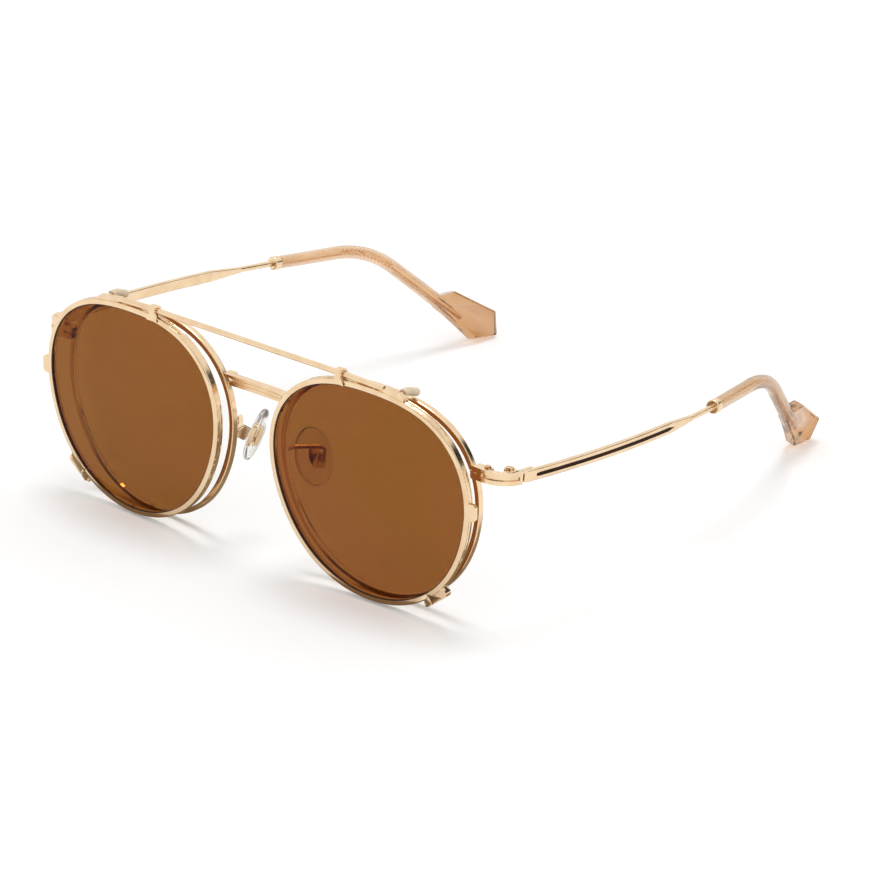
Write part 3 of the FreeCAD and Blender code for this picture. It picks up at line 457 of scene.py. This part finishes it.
def hook_rubber():
    """Milky beige sleeve on the hooks, soft and slightly see-through."""
    paint = Paint("hook_sleeve")
    cloud = paint.noise(700, 3.0)
    skin = paint.noise(2400, 3.0)
    return paint.finish(paint.add("ShaderNodeBsdfPrincipled", None, {
        "Base Color": paint.mix(cloud, shade(240, 226, 200), shade(222, 200, 168)),
        "Roughness": 0.3 + 0.15 * skin, "Subsurface Weight": 0.4,
        "Subsurface Scale": 0.0006, "Normal": paint.bump(skin, 0.00002, 0.4)}))


def inlay_enamel():
    """Dark brown enamel laid in the temple, glossy, with a slow drift of colour."""
    paint = Paint("brown_enamel")
    drift = paint.noise(1.0, 3.0, paint.stretched(900, 90, 900))
    return paint.finish(paint.add("ShaderNodeBsdfPrincipled", None, {
        "Base Color": paint.mix(drift.between(0.3, 0.7), shade(40, 20, 12), shade(62, 34, 20)),
        "Roughness": 0.4 + 0.2 * drift, "Specular IOR Level": 0.06,
        "Normal": paint.bump(paint.noise(3000, 2.0), 0.00001, 0.3)}))


brown_lens = sun_glass()
clear_lens = optical_glass()
pad_silicone = silicone()
tip_acetate = acetate()
sleeve = hook_rubber()
enamel = inlay_enamel()
print("clear paints:", brown_lens.name, clear_lens.name, pad_silicone.name, tip_acetate.name)

# %% [markdown]
# ## Painting the solids
#
# Every solid keeps its shape and gets its finish by its name. The temples are drawn along
# their length, so their polishing lines run that way; the rims and fittings are tumbled.

# %% Finishes by name
FINISHES = {
    "clip_lens": brown_lens, "optical_lens": clear_lens, "nose_pad": pad_silicone,
    "temple_tip": tip_acetate, "hook_sleeve": sleeve, "temple_inlay": enamel,
    "temple_bar": gold_drawn, "brow_bar": gold_drawn, "bridge": gold_drawn,
    "core_wire": core_gold,
}


def family(name):
    """A node's name without its side."""
    for side in SIDES:
        name = name.removesuffix("_" + side)
    return name


for name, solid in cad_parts.items():
    finish = FINISHES.get(family(name), gold)
    solid.data.materials.clear()
    solid.data.materials.append(finish)
print("painted:", len(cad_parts))

# %% [markdown]
# ## Where each lens looks
#
# The front leans forward a little at the top and wraps back towards the temples, and each
# lens has its own plane. All the finer work on rims and lenses is done in that plane: a small
# frame gives the middle of a lens and its directions out, back and up.

# %% Lens planes
FRONT_TILT = math.radians(4.32)
CLIP_WRAP = math.radians(3.0)
FRAME_MORE_WRAP = math.radians(1.2)
LENS_OUT = 32.75 * MM
LENS_UP = 24.56 * MM
FRAME_IN = 0.7 * MM
FRAME_BACK = 5.1 * MM
FRAME_DOWN = 1.3 * MM
SET_SHIFT = Vector((0, -69.24, 0.36)) * MM


def lens_plane(side, part):
    """A matrix from a lens's own plane to the set: x along the lens, y back, z up."""
    way = SIDES[side]
    plane = (Matrix.Translation(SET_SHIFT) @ Matrix.Rotation(FRONT_TILT, 4, "X")
             @ Matrix.Translation((way * LENS_OUT, 0, LENS_UP))
             @ Matrix.Rotation(way * CLIP_WRAP, 4, "Z"))
    if part == "optical":
        plane = (plane @ Matrix.Translation((-way * FRAME_IN, FRAME_BACK, -FRAME_DOWN))
                 @ Matrix.Rotation(way * FRAME_MORE_WRAP, 4, "Z"))
    return plane


planes = {(part, side): lens_plane(side, part) for side in SIDES for part in ("clip", "optical")}
for (part, side), plane in planes.items():
    low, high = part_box(f"{part}_lens_{side}")
    apart = (low + high) / 2 - plane.translation
    print(part, side, "plane from the solid's middle, mm:", [round(v / MM, 2) for v in apart])

# %% [markdown]
# ## Making a piece
#
# A finished piece sits at the origin with its place in its mesh, as the solids do. One helper
# turns a bmesh into such a piece, rides it on its body, gives it its finish, and hides the solid
# it stands for. Another starts a bmesh from a copy of a solid, whose loose triangles are merged
# into one skin first.

# %% Pieces
SMOOTH_UP_TO = math.radians(32)


def piece(bm, name, body, finish, stands_for=()):
    mesh = bpy.data.meshes.new(name)
    bm.to_mesh(mesh)
    bm.free()
    mesh.shade_smooth()
    mesh.set_sharp_from_angle(angle=SMOOTH_UP_TO)
    mesh.materials.append(finish)
    made = bpy.data.objects.new(name, mesh)
    bpy.context.scene.collection.objects.link(made)
    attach(made, body)
    if stands_for:
        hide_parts(*stands_for)
    return made


def skin_of(node):
    """A bmesh of a solid's skin, merged, with its flat faces whole again."""
    bm = bmesh.new()
    bm.from_mesh(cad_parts[node].data)
    bmesh.ops.remove_doubles(bm, verts=bm.verts, dist=0.001 * MM)
    bmesh.ops.dissolve_limit(bm, angle_limit=math.radians(1), verts=bm.verts, edges=bm.edges)
    return bm


EDGE_SEGMENTS = 3
EDGE_SHARPER_THAN = math.radians(40)


def rounded(made, width):
    """Breaks the sharp edges, as tumbling does to every metal fitting."""
    edge = made.modifiers.new("broken_edges", "BEVEL")
    edge.width = width
    edge.segments = EDGE_SEGMENTS
    edge.limit_method = "ANGLE"
    edge.angle_limit = EDGE_SHARPER_THAN
    edge.use_clamp_overlap = True
    return made


print("helpers for pieces are ready")

# %% [markdown]
# ## The lens outline
#
# The lens is nearly round, a little flatter at the top and fuller at the temple. That outline
# is a circle with a few waves laid on it, stretched to the lens's width and height. The same
# line, moved out or in square to itself, gives every ring that follows the lens.

# %% Outline
LENS_WIDTH = 49.0 * MM
LENS_HEIGHT = 46.8 * MM
OVAL, CANT, PANTO, SQUARE = 0.019, -0.015, 0.036, -0.0155
OUTLINE_STEPS = 160
TINY_TURN = 0.001


def unit_point(angle):
    radius = (1 + OVAL * math.cos(2 * angle) + CANT * math.sin(2 * angle)
              + PANTO * math.sin(3 * angle) + SQUARE * math.cos(4 * angle))
    return radius * math.cos(angle), radius * math.sin(angle)


unit_x, unit_z = zip(*(unit_point(2 * math.pi * step / 360) for step in range(360)))


def on_opening(angle, way):
    x, z = unit_point(angle)
    return Vector((
        way * (x - (min(unit_x) + max(unit_x)) / 2) * LENS_WIDTH / (max(unit_x) - min(unit_x)),
        0, (z - (min(unit_z) + max(unit_z)) / 2) * LENS_HEIGHT / (max(unit_z) - min(unit_z))))


def outline_point(angle, way, offset):
    """A point of the lens opening in the lens's plane, moved outwards by offset."""
    point = on_opening(angle, way)
    along = on_opening(angle + TINY_TURN, way) - on_opening(angle - TINY_TURN, way)
    out = Vector((along.z, 0, -along.x)).normalized()
    return point + (out if out.dot(point) > 0 else -out) * offset


def outline_ring(bm, way, offset):
    """A closed ring of edges on the outline, at no depth. Returns its edges."""
    bmesh.ops.create_circle(bm, segments=OUTLINE_STEPS, radius=1.0)
    for vert in bm.verts:
        vert.co = outline_point(math.atan2(vert.co.y, vert.co.x), way, offset)
    return bm.edges[:]


print("outline, mm:", [round(outline_point(math.radians(a), 1, 0).length / MM, 2)
                       for a in range(0, 360, 60)])

# %% [markdown]
# ## Lenses
#
# A solid's lens is cut into a few large triangles, and glass shows every one of them: what is
# seen through it bends at each edge. So each lens is made anew as a fine dome. A circle is
# pulled onto the outline, rings are extruded towards the middle along a sphere, and the sheet
# is given its thickness.

# %% Domed lenses
LENS_RINGS = 22
PLAY = 0.03 * MM
GLASS = {
    "clip": {"dome": 265 * MM, "thick": 1.1 * MM, "inset": 0.0, "rim_depth": 1.9 * MM,
             "body": "clip", "finish": brown_lens, "slot": "sun_lens"},
    "optical": {"dome": 140 * MM, "thick": 1.3 * MM, "inset": 0.5 * MM, "rim_depth": 1.6 * MM,
                "body": "front", "finish": clear_lens, "slot": "clear_lens"},
}


def sag(radius, distance):
    """How far a dome has dropped at a distance from its middle."""
    return radius - math.sqrt(radius * radius - distance * distance)


def domed_lens(plane, way, glass):
    bm = bmesh.new()
    border = outline_ring(bm, way, -glass["inset"] - PLAY)
    for ring in range(1, LENS_RINGS):
        grown = bmesh.ops.extrude_edge_only(bm, edges=border)["geom"]
        verts = [g for g in grown if isinstance(g, bmesh.types.BMVert)]
        border = [g for g in grown if isinstance(g, bmesh.types.BMEdge)]
        share = (LENS_RINGS - ring) / (LENS_RINGS - ring + 1)
        bmesh.ops.scale(bm, vec=(share, 1, share), verts=verts)
    bmesh.ops.contextual_create(bm, geom=border)
    front = (glass["rim_depth"] - glass["thick"]) / 2 - sag(glass["dome"], LENS_WIDTH / 2)
    for vert in bm.verts:
        vert.co.y = front + sag(glass["dome"], math.hypot(vert.co.x, vert.co.z))
    bmesh.ops.recalc_face_normals(bm, faces=bm.faces)
    if sum(face.normal.y for face in bm.faces) > 0:
        bmesh.ops.reverse_faces(bm, faces=bm.faces)
    bmesh.ops.solidify(bm, geom=bm.faces[:], thickness=glass["thick"])
    bmesh.ops.recalc_face_normals(bm, faces=bm.faces)
    bmesh.ops.transform(bm, matrix=plane, verts=bm.verts)
    return bm


for (part, side), plane in planes.items():
    glass = GLASS[part]
    lens = piece(domed_lens(plane, SIDES[side], glass), f"{part}_dome_{side}", glass["body"],
                 glass["finish"], [f"{part}_lens_{side}"])
    low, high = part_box(f"{part}_lens_{side}")
    print(lens.name, "faces:", len(lens.data.polygons), "front of solid and piece, mm:",
          round(low.y / MM, 2), round(min(v.co.y for v in lens.data.vertices) / MM, 2))

# %% [markdown]
# ## Painted shade round the brown lens
#
# Where the brown glass meets the gold rim, a hair of a gap lies in shade. A thin dark ring of
# painted shade draws that crisp line round the lens. It is a ring of square section: one loop on
# the outline is extruded back, in and forward again, and the last loop is bridged to the first.

# %% Painted shade line
SEAT_WIDTH = 0.2 * MM
SEAT_FRONT = 0.18 * MM
SEAT_BACK = 0.38 * MM
# Colour of the thin ring of painted shade round the brown lens.
SEAM_SHADE = shade(40, 22, 14)


def seam_shade_paint():
    """Almost black painted shade for the gap round the lens, a little uneven."""
    paint = Paint("dark_seam_shade")
    grain = paint.noise(1800, 3.0)
    return paint.finish(paint.add("ShaderNodeBsdfPrincipled", None, {
        "Base Color": paint.mix(grain, SEAM_SHADE, shade(66, 36, 22)),
        "Roughness": 0.4 + 0.3 * grain, "Normal": paint.bump(grain, 0.00001, 0.4)}))


def square_ring(plane, way, offset, width, front, back):
    bm = bmesh.new()
    loop = outline_ring(bm, way, offset)
    first = loop
    corners = ((0.0, back), (-width, back), (0.0, front))
    for vert in bm.verts:
        vert.co.y = front
    for step, depth in corners:
        grown = bmesh.ops.extrude_edge_only(bm, edges=loop)["geom"]
        loop = [g for g in grown if isinstance(g, bmesh.types.BMEdge)]
        for vert in (g for g in grown if isinstance(g, bmesh.types.BMVert)):
            vert.co += Vector((vert.co.x, 0, vert.co.z)).normalized() * step
            vert.co.y = depth
    bmesh.ops.bridge_loops(bm, edges=first + loop)
    bmesh.ops.recalc_face_normals(bm, faces=bm.faces)
    bmesh.ops.transform(bm, matrix=plane, verts=bm.verts)
    return bm


# The rings made below are painted shade in the gap between glass and rim.
seam_shade = seam_shade_paint()
for side in SIDES:
    ring = square_ring(planes["clip", side], SIDES[side], -PLAY, SEAT_WIDTH,
                       SEAT_FRONT, SEAT_BACK)
    line = piece(ring, f"lens_seam_shade_{side}", "clip", seam_shade)
    print(line.name, "faces:", len(line.data.polygons))

# %% [markdown]
# ## Reeded clip rims
#
# The outer wall of the clip's rims carries fine lines all the way round. A picture of lines
# would vanish at the edge of the rim, so they are real: the rim is cut by planes along its
# depth, and the middle cut of each groove is drawn in towards the lens. Only the wall that
# faces outwards is touched, so the closing lugs stay flat.

# %% Reeding
REED_LEVELS = (-0.28, 0.28)
REED_WIDTH = 0.2 * MM
REED_DEPTH = 0.26 * MM
RIM_WIDTH = 1.1 * MM
CLIP_RIM_DEPTH = 1.9 * MM
WALL_FACING = 0.86


def level_cut(bm, plane, level):
    """Cuts the mesh along a plane parallel to the lens and returns the verts on it."""
    cut = bmesh.ops.bisect_plane(
        bm, geom=bm.verts[:] + bm.edges[:] + bm.faces[:], dist=0.0005 * MM,
        plane_co=plane @ Vector((0, level, 0)), plane_no=plane.to_3x3() @ Vector((0, 1, 0)))
    return [g for g in cut["geom_cut"] if isinstance(g, bmesh.types.BMVert)]


def reed(bm, plane, levels):
    """Draws one groove for each level into the outward wall."""
    inverse = plane.inverted()
    plain_wall = LENS_WIDTH / 2 + RIM_WIDTH * 2
    drawn_in = looked_at = 0
    for share in levels:
        level = CLIP_RIM_DEPTH * (0.5 + share)
        for shift in (-REED_WIDTH, REED_WIDTH):
            level_cut(bm, plane, level + shift)
        found = level_cut(bm, plane, level)
        bm.normal_update()
        for vert in found:
            flat = inverse @ vert.co
            out = Vector((flat.x, 0, flat.z)).normalized()
            facing = (inverse.to_3x3() @ vert.normal).dot(out)
            looked_at += 1
            if facing > WALL_FACING and math.hypot(flat.x, flat.z) < plain_wall:
                vert.co = plane @ (flat - out * REED_DEPTH)
                drawn_in += 1
    print("points drawn in:", drawn_in, "of", looked_at)
    return bm


for side in SIDES:
    node = f"clip_rim_{side}"
    plane = planes["clip", side]
    bm = reed(skin_of(node), plane, REED_LEVELS)
    made = piece(bm, f"reeded_rim_{side}", "clip", gold, [node])
    print(made.name, "faces:", len(made.data.polygons))

# %% [markdown]
# The bottom of a groove lies in shade, and that is what makes fine lines readable from a
# distance. Each groove gets its own thin dark ring of painted shade, sunk well below the wall.

# %% Painted shade in the grooves
LINE_WIDTH = 0.2 * MM
LINE_THICK = 0.1 * MM
LINE_SUNK = 0.12 * MM

# Dark gold for the rings: painted shade at the bottom of each groove.
groove_shade = metal("groove_shade_gold", shade(112, 84, 56), shade(88, 62, 40), 0.3, 0.5,
                (9000, 900, 9000))
for side in SIDES:
    for number, share in enumerate(REED_LEVELS, 1):
        middle = CLIP_RIM_DEPTH * (0.5 + share)
        ring = square_ring(planes["clip", side], SIDES[side], RIM_WIDTH - LINE_SUNK, LINE_THICK,
                           middle - LINE_WIDTH / 2, middle + LINE_WIDTH / 2)
        line = piece(ring, f"reed_line_{number}_{side}", "clip", groove_shade)
        print(line.name, "at depth", round(middle / MM, 2), "mm")

# %% [markdown]
# ## Nose pads
#
# A nose pad is a soft oval of clear silicone, thick in the middle and round at its edge, with
# a small metal plate cast into it that clips to its stem. A sphere squeezed flat would be
# pointed at the edge, so its depth is raised to a power, which keeps the edge full. The pads
# stand like an open book: closer at the top, and turned to follow the sides of the nose.

# %% Soft pads
PAD_HALF = Vector((4.3, 1.25, 6.4)) * MM
PAD_FULLNESS = 0.62
PAD_SPLAY = math.radians(19)
PAD_TURN = math.radians(20)
PLATE_HALF = Vector((1.5, 0.28, 2.6)) * MM
PLATE_BACK = 0.45 * MM
PAD_RISE = 1.0 * MM
PAD_FORWARD = 0.4 * MM


def pad_place(side):
    """From a pad's own axes, width, thickness and length, to its place on the set."""
    way = SIDES[side]
    low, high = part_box(f"nose_pad_{side}")
    up = Vector((-way * math.sin(PAD_SPLAY), 0, math.cos(PAD_SPLAY)))
    to_nose = Vector((-way * math.cos(PAD_TURN) * math.cos(PAD_SPLAY), math.sin(PAD_TURN),
                      -math.cos(PAD_TURN) * math.sin(PAD_SPLAY)))
    across = to_nose.cross(up)
    turn = Matrix((across, to_nose, up)).transposed().to_4x4()
    return Matrix.Translation((low + high) / 2 + Vector((0, 0, PAD_RISE))
                              + to_nose * PAD_FORWARD) @ turn


def oval(half, fullness, place, segments=48):
    bm = bmesh.new()
    bmesh.ops.create_uvsphere(bm, u_segments=segments, v_segments=segments // 2, radius=1.0)
    bmesh.ops.rotate(bm, matrix=Matrix.Rotation(math.pi / 2, 3, "X"), verts=bm.verts)
    for vert in bm.verts:
        vert.co.y = math.copysign(abs(vert.co.y) ** fullness, vert.co.y)
    bmesh.ops.scale(bm, vec=half, verts=bm.verts)
    bmesh.ops.transform(bm, matrix=place, verts=bm.verts)
    bmesh.ops.recalc_face_normals(bm, faces=bm.faces)
    return bm


for side in SIDES:
    place = pad_place(side)
    pad = piece(oval(PAD_HALF, PAD_FULLNESS, place), f"soft_pad_{side}", f"nose_pad_{side}",
                pad_silicone, [f"nose_pad_{side}"])
    plate_place = place @ Matrix.Translation((0, -PLATE_BACK, 0))
    plate = piece(oval(PLATE_HALF, 0.5, plate_place, 32), f"pad_plate_{side}",
                  f"nose_pad_{side}", gold)
    print(pad.name, plate.name, "at", [round(v / MM, 1) for v in place.translation])

# %% [markdown]
# ## Broken edges
#
# The fittings come out of the press with sharp edges and leave the tumbler with soft ones,
# and it is those edges that catch the light. A Bevel modifier on a copy of each solid does
# the same, with a width that suits the size of the fitting. Core wires and acetate tips are in
# the table too, because a merged skin can be shaded smooth along their bends.

# %% Tumbled fittings
TUMBLED = {
    "endpiece": ("front", 0.28, gold, "gold"),
    "bridge": ("front", 0.22, gold_drawn, "gold"),
    "side_tab": ("clip", 0.14, gold, "gold"), "brow_post": ("clip", 0.1, gold, "gold"),
    "top_hook": ("clip", 0.12, gold, "gold"),
    "temple_bar": (None, 0.16, gold_drawn, "gold"),
    "core_wire": (None, 0.02, core_gold, "steel"),
    "temple_tip": (None, 0.1, tip_acetate, "acetate"),
}

for fitting, (body, width, finish, slot) in TUMBLED.items():
    for side in SIDES:
        node = f"{fitting}_{side}" if f"{fitting}_{side}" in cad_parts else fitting
        if node == fitting and side == "right":
            continue
        made = piece(skin_of(node), f"tumbled_{node}", body or f"temple_{side}",
                     finish, [node])
        rounded(made, width * MM)
        print(made.name, "edge:", width, "mm")
